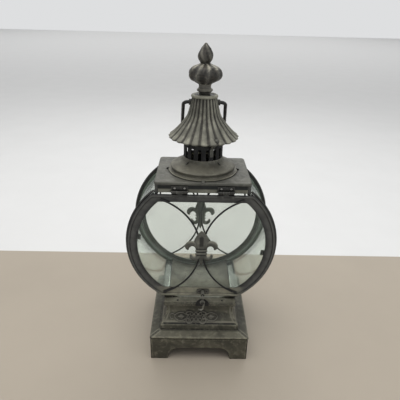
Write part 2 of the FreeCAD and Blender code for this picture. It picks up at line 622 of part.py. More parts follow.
# ---- latch --------------------------------------------------------------------------------------
# Keeper: an oblong plate on the door's lower rail with a post standing out of it. The post is thick at its
# root and has a neck for the hook, so a hook turned up over the neck keeps the door from swinging out.
KEEPER_FACE = DOOR_Y - SHEET / 2
BRACKET_FACE = -TRAY_Y - 1.0
HOOK_Y = BRACKET_FACE - 1.4
keeper = box(LATCH_X - 7.0, LATCH_X + 8.0, KEEPER_FACE - 1.0, KEEPER_FACE, KEEPER_Z - 3.4, KEEPER_Z + 3.2)
keeper = keeper.makeFillet(2.6, [e for e in keeper.Edges if abs(e.tangentAt(e.FirstParameter).y) > 0.9])


def post_piece(radius, y_from, y_to):
    return Part.makeCylinder(radius, y_from - y_to, V(LATCH_X, y_from, KEEPER_Z), V(0, -1, 0))


post = [post_piece(2.3, KEEPER_FACE - 0.5, BRACKET_FACE - 0.2), post_piece(1.3, BRACKET_FACE - 0.2, HOOK_Y - 1.4),
        Part.makeSphere(2.2, V(LATCH_X, HOOK_Y - 2.9, KEEPER_Z))]
keeper_rivets = Part.makeCompound([
    rivet(V(LATCH_X + dx, KEEPER_FACE - 1.0, KEEPER_Z), V(0, -1, 0), 1.2, 0.6, 2.1) for dx in (-4.6, 5.4)])
parts["latch_keeper"] = fuse([keeper] + post).cut(keeper_rivets)
parts["keeper_rivets"] = keeper_rivets
parts["door_frame"] = door_frame.cut(keeper_rivets)

# Bracket on the tray's front edge, with the pin that the hook hangs on.
bracket = prism([V(LATCH_X - 8, BRACKET_FACE, 75.6), V(LATCH_X + 8, BRACKET_FACE, 75.6),
                 V(LATCH_X + 8, BRACKET_FACE, 80.2),
                 (V(LATCH_X, BRACKET_FACE, 86.0), V(LATCH_X - 8, BRACKET_FACE, 80.2))], V(0, 0.99, 0))
latch_pin = fuse([Part.makeCylinder(1.1, 3.8, V(LATCH_X, BRACKET_FACE + 1.0, LATCH_Z), V(0, -1, 0)),
                  Part.makeCylinder(2.1, 0.9, V(LATCH_X, BRACKET_FACE - 2.8, LATCH_Z), V(0, -1, 0))])
parts["latch_bracket"] = bracket.cut(latch_pin)
parts["latch_pin"] = latch_pin
parts["floor_tray"] = tray


def latch_hook():
    """An eye on the pin and a J of wire; it hangs at rest, and turned up it closes over the post's neck."""
    bar, bend, reach = 1.0, 2.7, KEEPER_Z - LATCH_Z
    tip = math.radians(-118.0)
    bore = Part.makeCylinder(1.1 + RUN, 6, V(0, -3, 0), Y)
    eye = Part.makeTorus(2.25, bar, V(0, 0, 0), Y)
    start, knee = V(bend, 0, -3.0), V(bend, 0, -reach)
    mid = V(bend * math.cos(tip / 2), 0, -reach + bend * math.sin(tip / 2))
    end = V(bend * math.cos(tip), 0, -reach + bend * math.sin(tip))
    shank = tube([Part.LineSegment(start, knee).toShape(), Part.Arc(knee, mid, end).toShape()], bar)
    lead = tube([Part.LineSegment(V(1.6, 0, -1.6), start).toShape()], bar)
    hook = shank.fuse([lead, Part.makeSphere(bar, start), Part.makeSphere(bar, end), eye]).removeSplitter().cut(bore)
    hook.rotate(V(0, 0, 0), Y, HOOK_LEAN)
    hook.translate(V(LATCH_X, HOOK_Y, LATCH_Z))
    return hook


parts["latch_hook"] = latch_hook()

# ---- bail handle --------------------------------------------------------------------------------
BUSH_IN, BUSH_OUT = 13.6, 17.4


def bush():
    ring = Part.makeCylinder(3.3, BUSH_OUT - BUSH_IN, V(BUSH_IN, 0, PIVOT_Z), X)
    return ring.cut(Part.makeCylinder(BAIL_R + RUN, 20, V(8, 0, PIVOT_Z), X))


right_bush = bush()
seats = [Part.makeCylinder(3.3, 30, V(5, 0, PIVOT_Z), X)]
seats.append(mirrored(seats[0]))
bell = bell.cut(seats + [cowl_rivet(a) for a in RIVET_TURNS])
parts["cowl"] = bell
parts["handle_bushes"] = Part.makeCompound([right_bush, mirrored(right_bush)])


def bail():
    """Square-shouldered swing handle, modelled hanging straight down and then leaned back on the cowl."""
    inner, shoulder, wide = 11.6, 23.4, 27.0
    low = PIVOT_Z - BAIL_LEN
    path = [V(-inner, 0, PIVOT_Z), V(-shoulder, 0, PIVOT_Z), V(-wide, 0, low), V(wide, 0, low),
            V(shoulder, 0, PIVOT_Z), V(inner, 0, PIVOT_Z)]
    loop = tube(bent_path(path, (5.4, 15.0, 15.0, 5.4)), BAIL_R)
    head = Part.makeCylinder(3.0, 1.4, V(inner - 1.4, 0, PIVOT_Z), X)
    loop = fuse([loop, head, mirrored(head)])
    loop.rotate(V(0, 0, PIVOT_Z), X, BAIL_REST)
    return loop


parts["bail_handle"] = bail()

# ---- export -------------------------------------------------------------------------------------
os.makedirs("parts", exist_ok=True)
for name, shape in sorted(parts.items()):
    shape.exportStep(os.path.join("parts", name + ".step"))
    bounds = shape.BoundBox
    print("%-22s valid=%s solids=%d vol=%9.1f  x[%.1f %.1f] y[%.1f %.1f] z[%.1f %.1f]" % (
        name, shape.isValid(), len(shape.Solids), shape.Volume, bounds.XMin, bounds.XMax,
        bounds.YMin, bounds.YMax, bounds.ZMin, bounds.ZMax))
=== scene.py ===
"""Looks of the hurricane candle lantern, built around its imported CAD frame. Metres, +Z up, the door towards -Y."""

import json
import math

import bmesh
import bpy
from mathutils import Matrix, Vector, noise
from mathutils.bvhtree import BVHTree


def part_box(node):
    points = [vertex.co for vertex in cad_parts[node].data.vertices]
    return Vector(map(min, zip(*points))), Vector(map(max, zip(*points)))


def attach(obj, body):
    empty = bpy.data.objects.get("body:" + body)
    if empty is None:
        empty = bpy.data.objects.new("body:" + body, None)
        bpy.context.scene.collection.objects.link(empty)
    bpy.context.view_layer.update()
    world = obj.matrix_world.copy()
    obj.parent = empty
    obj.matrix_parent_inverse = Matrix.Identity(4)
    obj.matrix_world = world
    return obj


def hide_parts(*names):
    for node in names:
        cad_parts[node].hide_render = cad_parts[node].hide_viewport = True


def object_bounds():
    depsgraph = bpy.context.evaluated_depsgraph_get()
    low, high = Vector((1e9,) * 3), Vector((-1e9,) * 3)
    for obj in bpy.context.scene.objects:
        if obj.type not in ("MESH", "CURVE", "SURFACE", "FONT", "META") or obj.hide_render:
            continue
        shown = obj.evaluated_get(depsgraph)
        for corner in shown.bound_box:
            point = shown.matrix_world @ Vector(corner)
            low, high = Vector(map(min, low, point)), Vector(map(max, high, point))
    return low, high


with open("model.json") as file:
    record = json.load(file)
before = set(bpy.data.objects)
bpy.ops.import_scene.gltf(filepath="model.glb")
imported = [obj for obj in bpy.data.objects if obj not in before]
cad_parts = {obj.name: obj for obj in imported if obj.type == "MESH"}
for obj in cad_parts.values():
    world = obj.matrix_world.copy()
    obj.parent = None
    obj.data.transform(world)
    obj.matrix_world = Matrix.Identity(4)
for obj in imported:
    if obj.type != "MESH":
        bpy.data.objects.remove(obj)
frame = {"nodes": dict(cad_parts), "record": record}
cad_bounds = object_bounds()
nodes = frame["nodes"]
scene = bpy.context.scene

MM = 0.001
TABLE_DEPTH = 0.184         # the table's edge lies this far before and behind the lantern's middle

# Camera: the photograph's viewing point, its angles in degrees about Z, X and its own axis, and its lens in mm.
EYE = (-0.01018, -0.43396, 0.40229)
YAW, PITCH, ROLL = -1.047, 64.845, 1.46
LENS, SENSOR = 34.745, 36.0

# Places on the lantern, in metres.
DRUM_Z = 0.158                                  # the drum's axis
BAND_RADII = (0.0755, 0.0830)                   # where a ring's flat band turns pale
BAND_RISE = (0.0560, 0.0640)                    # and how far above or below the axis it does so
DRUM_RADII = (0.0845, 0.0855)                   # the drum's skin, inside and outside
BAND_FOOT_Z = (0.0995, 0.0970)
BAND_FOOT_X = (0.058, 0.040)
COLLAR_MOUTH = (0.0122, 0.0108)
UNDER_PLATE_Z = (0.2296, 0.2312)
LILY_BANDS_Z = (0.1565, 0.1520, 0.1478)
LILY_FOLD_Z = (0.1585, 0.1615, 0.1710, 0.1775)  # starts, full, still full, ends
MITRE_SHIFT = 0.003                             # the panels' mitres run where |y| - |x| is this much
RUBBED_FOLDS = ((0.0489, 0.0008), (0.0350, 0.0003), (0.0738, 0.0006))   # height and half width
# Heights of the dark lines under the folds' lips: dirt and painted shade.
DIRT_AND_SHADE_FOLDS = ((0.0472, 0.0006), (0.0388, 0.0006), (0.0722, 0.0009))
PLINTH_X, PLINTH_Y, PLINTH_TOP_Z = 0.0620, 0.0650, 0.0334               # outer faces and upper arris
PLINTH_HOLLOW = ((0.0614, 0.0610), (0.0644, 0.0640), (0.0329, 0.0325))  # across, deep, up
ARCH_CROWN_Z = 0.0185


# ---- camera, light and stage ---------------------------------------------------------------------
def add_camera():
    data = bpy.data.cameras.new("camera")
    data.sensor_width = SENSOR
    data.lens = LENS
    data.clip_start = 0.01
    cam = bpy.data.objects.new("camera", data)
    scene.collection.objects.link(cam)
    yaw, pitch, roll = (math.radians(angle) for angle in (YAW, PITCH, ROLL))
    cam.matrix_world = (Matrix.Translation(EYE) @ Matrix.Rotation(yaw, 4, "Z") @ Matrix.Rotation(pitch, 4, "X")
                        @ Matrix.Rotation(roll, 4, "Z"))
    scene.camera = cam


def add_area(name, location, target, size, power, colour=(1, 1, 1)):
    data = bpy.data.lights.new(name, "AREA")
    data.shape = "RECTANGLE"
    data.size, data.size_y = size
    data.energy = power
    data.color = colour
    lamp = bpy.data.objects.new(name, data)
    scene.collection.objects.link(lamp)
    aim = Vector(target) - Vector(location)
    lamp.matrix_world = Matrix.Translation(location) @ aim.to_track_quat("-Z", "Y").to_matrix().to_4x4()


def add_world(colour, overhead, horizon):
    """Even studio air, brighter round the horizon like pale walls."""
    world = bpy.data.worlds.new("studio")
    world.use_nodes = True
    tree = world.node_tree
    background = tree.nodes["Background"]
    background.inputs["Color"].default_value = (*colour, 1)
    direction = tree.nodes.new("ShaderNodeTexCoord")
    split = tree.nodes.new("ShaderNodeSeparateXYZ")
    fade = tree.nodes.new("ShaderNodeMapRange")
    fade.inputs["From Min"].default_value, fade.inputs["From Max"].default_value = 0.06, 0.3
    fade.inputs["To Min"].default_value, fade.inputs["To Max"].default_value = horizon, overhead
    tree.links.new(direction.outputs["Generated"], split.inputs[0])
    tree.links.new(split.outputs["Z"], fade.inputs["Value"])
    tree.links.new(fade.outputs[0], background.inputs["Strength"])
    scene.world = world


add_camera()
add_area("ceiling_light", (-0.25, -0.25, 1.7), (0, 0, 0.2), (1.8, 1.3), 18.0, (1.0, 0.985, 0.96))
add_area("side_light", (1.2, -0.5, 1.0), (0, 0, 0.2), (0.8, 0.8), 3.0, (0.95, 0.98, 1.0))
add_area("back_light", (0.1, 1.0, 1.2), (0, 0, 0.25), (1.2, 0.6), 5.0)
add_area("far_light", (0.0, 9.0, 3.6), (0.0, 9.1, 0.0), (12.0, 14.0), 345.0)
add_world((0.96, 0.97, 0.98), 0.40, 0.76)
scene.view_settings.view_transform = "Standard"
scene.view_settings.look = "None"


# ---- mesh helpers --------------------------------------------------------------------------------
def new_object(name, bm, material):
    mesh = bpy.data.meshes.new(name)
    bm.to_mesh(mesh)
    bm.free()
    obj = bpy.data.objects.new(name, mesh)
    scene.collection.objects.link(obj)
    mesh.materials.append(material)
    return obj


def smooth(mesh, angle=35.0):
    mesh.shade_smooth()
    mesh.set_sharp_from_angle(angle=math.radians(angle))


def dress(obj, material):
    obj.data.materials.clear()
    obj.data.materials.append(material)


def bake_modifiers(obj):
    """Leaves the mesh as its modifiers shape it, with no modifier on the piece."""
    bpy.context.view_layer.update()
    shaped = bpy.data.meshes.new_from_object(obj.evaluated_get(bpy.context.evaluated_depsgraph_get()))
    obj.modifiers.clear()
    obj.data = shaped


def curve_through(points, steps):
    """Catmull-Rom samples through tuples of any length."""
    padded = [points[0]] + list(points) + [points[-1]]
    samples = []
    for i in range(len(points) - 1):
        p0, p1, p2, p3 = padded[i:i + 4]
        for k in range(steps):
            t = k / steps
            samples.append(tuple(
                0.5 * (2 * b + (c - a) * t + (2 * a - 5 * b + 4 * c - d) * t * t + (3 * b - a - 3 * c + d) * t ** 3)
                for a, b, c, d in zip(p0, p1, p2, p3)))
    samples.append(tuple(points[-1]))
    return samples


THINNEST = 0.05


def add_stroke(bm, points, height=1.0, lift=0.0, steps=6, sides=12):
    """Tapered round bar lying in a plane, from (across, up, radius) points in mm.

    Its vertices are (across, depth, up). height is its depth as a share of its radius, and lift its distance from
    the plane.
    """
    line = [(x, z, max(r, THINNEST)) for x, z, r in curve_through(points, steps)]
    rings = []
    last = len(line) - 1
    for i, (x, z, r) in enumerate(line):
        ahead, behind = line[min(i + 1, last)], line[max(i - 1, 0)]
        run = Vector((ahead[0] - behind[0], ahead[1] - behind[1])).normalized()
        side = Vector((-run.y, run.x))
        ring = []
        for k in range(sides):
            turn = 2 * math.pi * k / sides
            across = r * math.cos(turn)
            deep = r * height * math.sin(turn) + lift
            ring.append(bm.verts.new((x + side.x * across, deep, z + side.y * across)))
        rings.append(ring)
    for low, high in zip(rings, rings[1:]):
        for k in range(sides):
            bm.faces.new((low[k], low[(k + 1) % sides], high[(k + 1) % sides], high[k]))
    for ring, (x, z, r), inward in ((rings[0], line[0], line[1]), (rings[-1], line[-1], line[-2])):
        out = Vector((x - inward[0], z - inward[1])).normalized() * r * 0.9
        tip = bm.verts.new((x + out.x, lift, z + out.y))
        for k in range(sides):
            pair = (ring[k], ring[(k + 1) % sides])
            bm.faces.new((*pair, tip) if ring is rings[-1] else (*reversed(pair), tip))


def welded(name, bm, material, voxel, soften=2):
    """Strokes and solids that run into each other become one closed skin."""
    bmesh.ops.recalc_face_normals(bm, faces=bm.faces[:])
    obj = new_object(name, bm, material)
    remesh = obj.modifiers.new("weld", "REMESH")
    remesh.mode = "VOXEL"
    remesh.voxel_size = voxel
    relax = obj.modifiers.new("soften", "SMOOTH")
    relax.factor, relax.iterations = 0.5, soften
    bake_modifiers(obj)
    obj.data.shade_smooth()
    return obj


def roughen(obj, amount, scale, keep=lambda co: 1.0):
    """Pushes each vertex in a little along its normal, by a fixed noise, as a sand casting's skin."""
    mesh = obj.data
    normals = [v.vector.copy() for v in mesh.vertex_normals]
    for v, normal in zip(mesh.vertices, normals):
        wave = noise.noise(v.co * scale) * 0.6 + noise.noise(v.co * scale * 2.7) * 0.4
        v.co += normal * amount * (wave - 0.55) * keep(v.co)


# ---- material nodes ------------------------------------------------------------------------------
class Tree:
    """Short calls for making one material's nodes."""

    def __init__(self, name):
        self.material = bpy.data.materials.new(name)
        self.material.use_nodes = True
        self.tree = self.material.node_tree
        self.tree.nodes.clear()
        self.out = self.node("ShaderNodeOutputMaterial")
        self.place = self.node("ShaderNodeTexCoord").outputs["Object"]

    def node(self, kind, **settings):
        made = self.tree.nodes.new(kind)
        for key, value in settings.items():
            setattr(made, key, value)
        return made

    def link(self, source, socket):
        if hasattr(source, "is_output"):
            self.tree.links.new(source, socket)
        else:
            socket.default_value = source

    def noise(self, scale, detail=4.0, rough=0.55, distortion=0.0):
        n = self.node("ShaderNodeTexNoise")
        n.inputs["Scale"].default_value = scale
        n.inputs["Detail"].default_value = detail
        n.inputs["Roughness"].default_value = rough
        n.inputs["Distortion"].default_value = distortion
        self.link(self.place, n.inputs["Vector"])
        return n.outputs["Fac"]

    def math(self, operation, a, b=0.5):
        m = self.node("ShaderNodeMath", operation=operation)
        self.link(a, m.inputs[0])
        self.link(b, m.inputs[1])
        return m.outputs[0]

    def span(self, value, low, high, to_low=0.0, to_high=1.0):
        m = self.node("ShaderNodeMapRange", interpolation_type="SMOOTHSTEP")
        self.link(value, m.inputs["Value"])
        for key, v in (("From Min", low), ("From Max", high), ("To Min", to_low), ("To Max", to_high)):
            m.inputs[key].default_value = v
        return m.outputs["Result"]

    def mix(self, fac, a, b):
        m = self.node("ShaderNodeMix", data_type="RGBA")
        self.link(fac, m.inputs[0])
        self.link((*a, 1) if isinstance(a, tuple) else a, m.inputs[6])
        self.link((*b, 1) if isinstance(b, tuple) else b, m.inputs[7])
        return m.outputs[2]

    def crevice(self, distance):
        ao = self.node("ShaderNodeAmbientOcclusion", samples=6, only_local=False)
        ao.inputs["Distance"].default_value = distance
        return ao.outputs["AO"]

    def edge(self, radius, soft=0.985, sharp=0.90):
        """1 near sharp convex or concave edges, 0 on flats."""
        bevel = self.node("ShaderNodeBevel", samples=4)
        bevel.inputs["Radius"].default_value = radius
        geometry = self.node("ShaderNodeNewGeometry")
        dot = self.node("ShaderNodeVectorMath", operation="DOT_PRODUCT")
        self.link(bevel.outputs["Normal"], dot.inputs[0])
        self.link(geometry.outputs["Normal"], dot.inputs[1])
        return self.span(dot.outputs["Value"], soft, sharp)

    def times(self, a, b):
        return self.math("MULTIPLY", a, b)

    def most(self, first, *others):
        """The largest of several values."""
        for other in others:
            first = self.math("MAXIMUM", first, other)
        return first

    def part(self, vector, axis):
        split = self.node("ShaderNodeSeparateXYZ")
        self.link(vector, split.inputs[0])
        return split.outputs["XYZ".index(axis)]

    def at(self, axis):
        """The surface point's coordinate along one axis, in metres."""
        return self.part(self.place, axis)

    def away(self, axis):
        """The same without its sign."""
        return self.math("ABSOLUTE", self.at(axis))

    def reach(self, a, b):
        """The length of the vector (a, b)."""
        return self.math("SQRT", self.math("ADD", self.times(a, a), self.times(b, b)))

    def lean(self, axis):
        """The part of the surface normal along one axis of the piece's own frame."""
        return self.part(self.node("ShaderNodeTexCoord").outputs["Normal"], axis)

    def stripe(self, value, middle, half, soft=0.0006):
        """1 within half of the middle of a length, falling to 0 over a soft margin."""
        off = self.math("ABSOLUTE", self.math("SUBTRACT", value, middle))
        return self.span(off, half + soft, half)

    def bump(self, height, strength, distance):
        b = self.node("ShaderNodeBump")
        b.inputs["Strength"].default_value = strength
        b.inputs["Distance"].default_value = distance
        self.link(height, b.inputs["Height"])
        return b.outputs["Normal"]

    def mix_shader(self, fac, first, second):
        m = self.node("ShaderNodeMixShader")
        self.link(fac, m.inputs[0])
        self.link(first.outputs[0], m.inputs[1])
        self.link(second.outputs[0], m.inputs[2])
        return m

    def surface(self, colour, rough, normal=None, metallic=0.3, specular=0.5):
        p = self.node("ShaderNodeBsdfPrincipled")
        self.link(colour, p.inputs["Base Color"])
        self.link(rough, p.inputs["Roughness"])
        p.inputs["Metallic"].default_value = metallic
        p.inputs["Specular IOR Level"].default_value = specular
        if normal is not None:
            self.link(normal, p.inputs["Normal"])
        self.link(p.outputs["BSDF"], self.out.inputs["Surface"])
        return self.material


# Fineness of the patina's noises, per metre, and how deep its outlines and its bumps are, in metres.
CLOUDS, BLOTCHES, DUST, RUBS = 38.0, 150.0, 70.0, 240.0
OUTLINE_DEPTH = 0.0022
BUMP_DEPTH, BUMP_STRENGTH = 0.0006, 0.35


def shade(colour, factor):
    return tuple(min(1.0, factor * c) for c in colour)


def patina(name, dark, mid, light, rough=0.55, metallic=0.35, wear=0.6, grime_and_shade=0.75, pits=0.35, grain=260.0,
           edge_width=0.0009, crevice_depth=0.005, outline=0.0, dust=0.0, lined=0.0, line_width=0.0011, extra=None):
    """Aged zinc: cloudy tones, rubbed edges, dirt and painted shade in corners, light dust on top, a fine dimpled
    skin.

    wear lightens rubbed edges over edge_width, grime_and_shade darkens corners by occlusion as deep as crevice_depth,
    as dirt and painted shade, outline does the same in the tightest corners, lined darkens all arrises over
    line_width, dust pales what faces up, and pits and grain set the depth and the fineness of the dimples.
    extra(tree, colour) may repaint the colour before the wear, the dirt and the painted shade go on.
    """
    t = Tree(name)
    clouds = t.noise(CLOUDS, 5.0, 0.6, 0.6)
    blotch = t.noise(BLOTCHES, 5.0, 0.65, 0.4)
    fine = t.noise(grain * 4, 3.0, 0.6)
    colour = t.mix(t.span(clouds, 0.36, 0.66), dark, mid)
    colour = t.mix(t.times(t.span(blotch, 0.5, 0.76), 0.45), colour, light)
    if dust > 0:
        upward = t.span(t.lean("Z"), 0.55, 0.95)
        settled = t.times(upward, t.span(t.noise(DUST, 4.0, 0.6), 0.3, 0.62, 0.35, 1.0))
        colour = t.mix(t.times(settled, dust), colour, shade(light, 1.15))
    if extra is not None:
        colour = extra(t, colour)
    colour = t.mix(t.times(t.span(fine, 0.55, 0.8), 0.35), colour, shade(dark, 0.45))
    rub = t.times(t.edge(edge_width), t.span(t.noise(RUBS, 3.0), 0.34, 0.62, 0.25, 1.0))
    colour = t.mix(t.times(rub, wear), colour, shade(light, 1.35))
    # Dirt and painted shade: occlusion darkens corners, recesses and the gaps between parts.
    darkening = t.span(t.crevice(crevice_depth), 0.35, 0.92, grime_and_shade, 0.0)
    colour = t.mix(darkening, colour, shade(dark, 0.3))
    # Painted shade and dirt again, near black, from a tighter occlusion in the tightest corners.
    if outline > 0:
        colour = t.mix(t.span(t.crevice(OUTLINE_DEPTH), 0.5, 0.93, outline, 0.0), colour, shade(dark, 0.15))
    if lined > 0:
        colour = t.mix(t.times(t.edge(line_width, 0.997, 0.965), lined), colour, shade(dark, 0.15))
    roughness = t.span(blotch, 0.3, 0.75, rough + 0.12, rough - 0.1)
    height = t.math("ADD", t.times(blotch, 0.8), t.times(fine, pits))
    return t.surface(colour, roughness, t.bump(height, BUMP_STRENGTH, BUMP_DEPTH), metallic)


def clear_glass(name, tint, deep, edge_axis=None):
    """Thin pane: sees straight through, mirrors a little, greener where the view grazes it and at its cut edge."""
    t = Tree(name)
    facing = t.node("ShaderNodeLayerWeight")
    facing.inputs["Blend"].default_value = 0.5
    graze = t.math("POWER", facing.outputs["Facing"], 3.5)
    smear = t.span(t.noise(26.0, 5.0, 0.6, 0.8), 0.45, 0.8, 0.0, 0.05)
    through = t.node("ShaderNodeBsdfTransparent")
    t.link(t.mix(graze, tint, deep), through.inputs["Color"])
    mirror = t.node("ShaderNodeBsdfGlossy")
    mirror.inputs["Color"].default_value = (0.95, 0.98, 0.96, 1)
    t.link(t.span(smear, 0.0, 0.05, 0.03, 0.12), mirror.inputs["Roughness"])
    film = t.node("ShaderNodeBsdfDiffuse")
    film.inputs["Color"].default_value = (0.62, 0.66, 0.62, 1)
    fresnel = t.node("ShaderNodeFresnel")
    fresnel.inputs["IOR"].default_value = 1.42
    shine = t.mix_shader(t.times(fresnel.outputs["Fac"], 0.55), through, mirror)
    pane = t.mix_shader(smear, shine, film)
    if edge_axis is not None:
        across = t.part(t.node("ShaderNodeNewGeometry").outputs["Normal"], edge_axis)
        cut = t.span(t.math("ABSOLUTE", across), 0.5, 0.8)
        rim = t.node("ShaderNodeBsdfPrincipled")
        t.link(t.mix(t.noise(300.0, 2.0), (0.38, 0.46, 0.40), (0.56, 0.64, 0.57)), rim.inputs["Base Color"])
        rim.inputs["Roughness"].default_value = 0.2
        pane = t.mix_shader(cut, pane, rim)
    t.link(pane.outputs[0], t.out.inputs["Surface"])
    return t.material


def plain_stage(name, colour, speckle):
    t = Tree(name)
    tone = t.mix(t.span(t.noise(9.0, 3.0), 0.3, 0.7), shade(colour, 1 - speckle), colour)
    return t.surface(tone, 0.6, None, 0.0, 0.3)


# ---- painters ------------------------------------------------------------------------------------
# Each takes a material's tree and its colour so far, and gives the repainted colour.
def ring_band(t, colour):
    """The flat band of a wired frame is paler than its bead, most of all outwards and along its foot."""
    z = t.at("Z")
    up = t.math("SUBTRACT", z, DRUM_Z)
    radial = t.reach(t.at("X"), up)
    outwards = t.most(t.span(radial, *BAND_RADII), t.span(t.math("ABSOLUTE", up), *BAND_RISE))
    patch = t.span(t.noise(90.0, 4.0, 0.6, 0.5), 0.3, 0.65, 0.55, 1.0)
    front = t.span(t.math("ABSOLUTE", t.lean("Y")), 0.8, 0.97)
    flat = t.times(front, t.times(outwards, patch))
    colour = t.mix(flat, colour, (0.096, 0.095, 0.086))
    foot = t.times(t.span(z, *BAND_FOOT_Z), t.span(t.away("X"), *BAND_FOOT_X))
    return t.mix(t.times(foot, patch), colour, (0.26, 0.25, 0.185))


def shaded_well(t, colour):
    """Painted shade: near black round the mouth of the collar, in the gap about the neck's foot."""
    return t.mix(t.span(t.reach(t.at("X"), t.at("Y")), *COLLAR_MOUTH), colour, (0.012, 0.012, 0.011))


def groove_dirt(t, colour):
    """Rusty dirt where the mesh's own groove attribute says so."""
    mask = t.node("ShaderNodeAttribute", attribute_name="groove")
    streak = t.span(t.noise(120.0, 4.0, 0.6), 0.3, 0.6, 0.8, 1.0)
    rust = t.mix(t.span(t.noise(300.0, 4.0, 0.7), 0.45, 0.62), (0.017, 0.016, 0.014), (0.040, 0.034, 0.027))
    return t.mix(t.times(mask.outputs["Fac"], streak), colour, rust)


def under_shadow(t, colour):
    """Painted shadow: the fascia is near black just under the roof plate's edge."""
    return t.mix(t.span(t.at("Z"), *UNDER_PLATE_Z), colour, (0.010, 0.012, 0.011))


def relief_light_and_shade(t, colour):
    """Painted light on a cast relief: a painted highlight on its face and upper sides, painted shade on its flanks,
    undersides, bands and middle fold.
    """
    x, z, rise = t.away("X"), t.at("Z"), t.lean("Z")
    dark = (0.016, 0.016, 0.014)
    colour = t.mix(t.times(t.span(rise, 0.15, 0.6), 0.5), colour, (0.25, 0.245, 0.195))
    colour = t.mix(t.span(rise, -0.12, -0.5), colour, dark)
    starts, full, still, ends = LILY_FOLD_Z
    fold = t.times(t.span(x, 0.0032, 0.0016), t.times(t.span(z, starts, full), t.span(z, ends, still)))
    bands = t.most(*(t.stripe(z, height, 0.0006) for height in LILY_BANDS_Z))
    lines = t.most(fold, t.times(bands, t.span(x, 0.0075, 0.0068)))
    return t.mix(t.times(lines, 0.9), colour, dark)


def painted_light_within(t, colour):
    """Painted light: the rear frame is painted pale grey-green inside the drum, where it stands backlit in shade,
    and dark outside it.
    """
    outside = t.span(t.reach(t.at("X"), t.math("SUBTRACT", t.at("Z"), DRUM_Z)), *DRUM_RADII)
    return t.mix(t.most(outside, t.span(t.lean("Y"), 0.2, 0.6)), colour, RING[1])


def pressed_lines(t, colour):
    """Dirt and painted shade lie in the folds of the pressed mouldings, under each lip, and dirt along their mitres,
    with a rubbed line beside each.
    """
    z = t.away("Z")
    mitre = t.math("ADD", t.math("SUBTRACT", t.away("X"), t.away("Y")), MITRE_SHIFT)
    broken = t.span(t.noise(130.0, 3.0, 0.6), 0.25, 0.5, 0.55, 1.0)
    rubbed = t.most(t.stripe(mitre, 0.0, 0.0040), *(t.stripe(z, height, half) for height, half in RUBBED_FOLDS))
    colour = t.mix(t.times(rubbed, 0.6), colour, (0.22, 0.21, 0.160))
    # Dark lines: dirt and painted shade under the folds' lips, dirt in the mitre joints.
    dirty = t.most(t.stripe(mitre, 0.0, 0.0018), *(t.stripe(z, height, half) for height, half in DIRT_AND_SHADE_FOLDS))
    return t.mix(t.times(dirty, broken), colour, (0.010, 0.010, 0.009))


def shaded_hollow(t, colour):
    """Painted shade: the inside of the plinth near black and a dark line at the crown of each arch; dirt along its
    corner arrises, and dark lines along its foot and its top arris.
    """
    x, y, z = t.away("X"), t.away("Y"), t.at("Z")
    in_x, in_y, in_z = (t.span(value, *ends) for value, ends in zip((x, y, z), PLINTH_HOLLOW))
    within = t.times(in_x, t.times(in_y, in_z))
    arris = t.most(t.stripe(x, PLINTH_X, 0.0008), t.stripe(y, PLINTH_Y, 0.0008))
    corner = t.times(t.span(x, PLINTH_X - 0.0020, PLINTH_X - 0.0008), t.span(y, PLINTH_Y - 0.0020, PLINTH_Y - 0.0008))
    arch = t.times(t.stripe(z, ARCH_CROWN_Z, 0.0004), t.span(t.math("MINIMUM", x, y), 0.0310, 0.0270))
    lines = t.most(t.times(arris, corner), arch, t.stripe(z, 0.0, 0.0010), t.stripe(z, PLINTH_TOP_Z, 0.0004))
    colour = t.mix(t.times(lines, 0.9), colour, (0.009, 0.009, 0.008))
    return t.mix(within, colour, (0.008, 0.008, 0.007))


# ---- looks ---------------------------------------------------------------------------------------
# Dark, middle and light tone of each patina.
RING = ((0.016, 0.016, 0.016), (0.030, 0.030, 0.028), (0.10, 0.098, 0.085))
ROOF = ((0.066, 0.066, 0.056), (0.112, 0.111, 0.093), (0.19, 0.187, 0.156))
BASE = ((0.050, 0.048, 0.037), (0.096, 0.092, 0.068), (0.27, 0.256, 0.190))
WORN = ((0.13, 0.127, 0.100), (0.200, 0.195, 0.155), (0.31, 0.30, 0.23))
FINIAL = ((0.070, 0.067, 0.058), (0.175, 0.166, 0.140), (0.40, 0.38, 0.305))
ORNAMENT = ((0.055, 0.055, 0.046), (0.115, 0.114, 0.095), (0.25, 0.245, 0.195))
REAR_ORNAMENT = ((0.17, 0.176, 0.152), (0.30, 0.308, 0.268), (0.46, 0.465, 0.40))
# REAR_RING is painted light: far paler than RING, so the backlit rear frame looks lit inside the drum.
REAR_RING = ((0.34, 0.37, 0.33), (0.50, 0.535, 0.48), (0.64, 0.68, 0.62))
REAR_WIRE = ((0.13, 0.137, 0.122), (0.20, 0.21, 0.187), (0.3, 0.31, 0.28))
IRON = ((0.010, 0.010, 0.010), (0.019, 0.019, 0.019), (0.06, 0.058, 0.05))
HINGE = ((0.028, 0.028, 0.026), (0.050, 0.049, 0.044), (0.20, 0.195, 0.17))
RIVET = ((0.22, 0.22, 0.20), (0.38, 0.37, 0.34), (0.6, 0.59, 0.54))
FLUE = ((0.004, 0.004, 0.004), (0.009, 0.009, 0.008), (0.03, 0.028, 0.024))
CLIP = ((0.12, 0.125, 0.108), (0.19, 0.2, 0.17), (0.32, 0.33, 0.28))
KEEPER = ((0.10, 0.098, 0.082), (0.17, 0.165, 0.138), (0.30, 0.29, 0.24))
HOOK = ((0.12, 0.118, 0.10), (0.21, 0.205, 0.175), (0.38, 0.37, 0.31))
FLOOR = ((0.18, 0.175, 0.145), (0.275, 0.268, 0.222), (0.40, 0.39, 0.32))
DOME = ((0.078, 0.075, 0.058), (0.165, 0.158, 0.124), (0.28, 0.268, 0.210))
FLUTED = ((0.115, 0.113, 0.092), (0.25, 0.245, 0.198), (0.41, 0.40, 0.315))
SCROLL = ((0.09, 0.085, 0.070), (0.15, 0.143, 0.115), (0.26, 0.25, 0.20))


def shades(tones, factor):
    return [shade(tone, factor) for tone in tones]


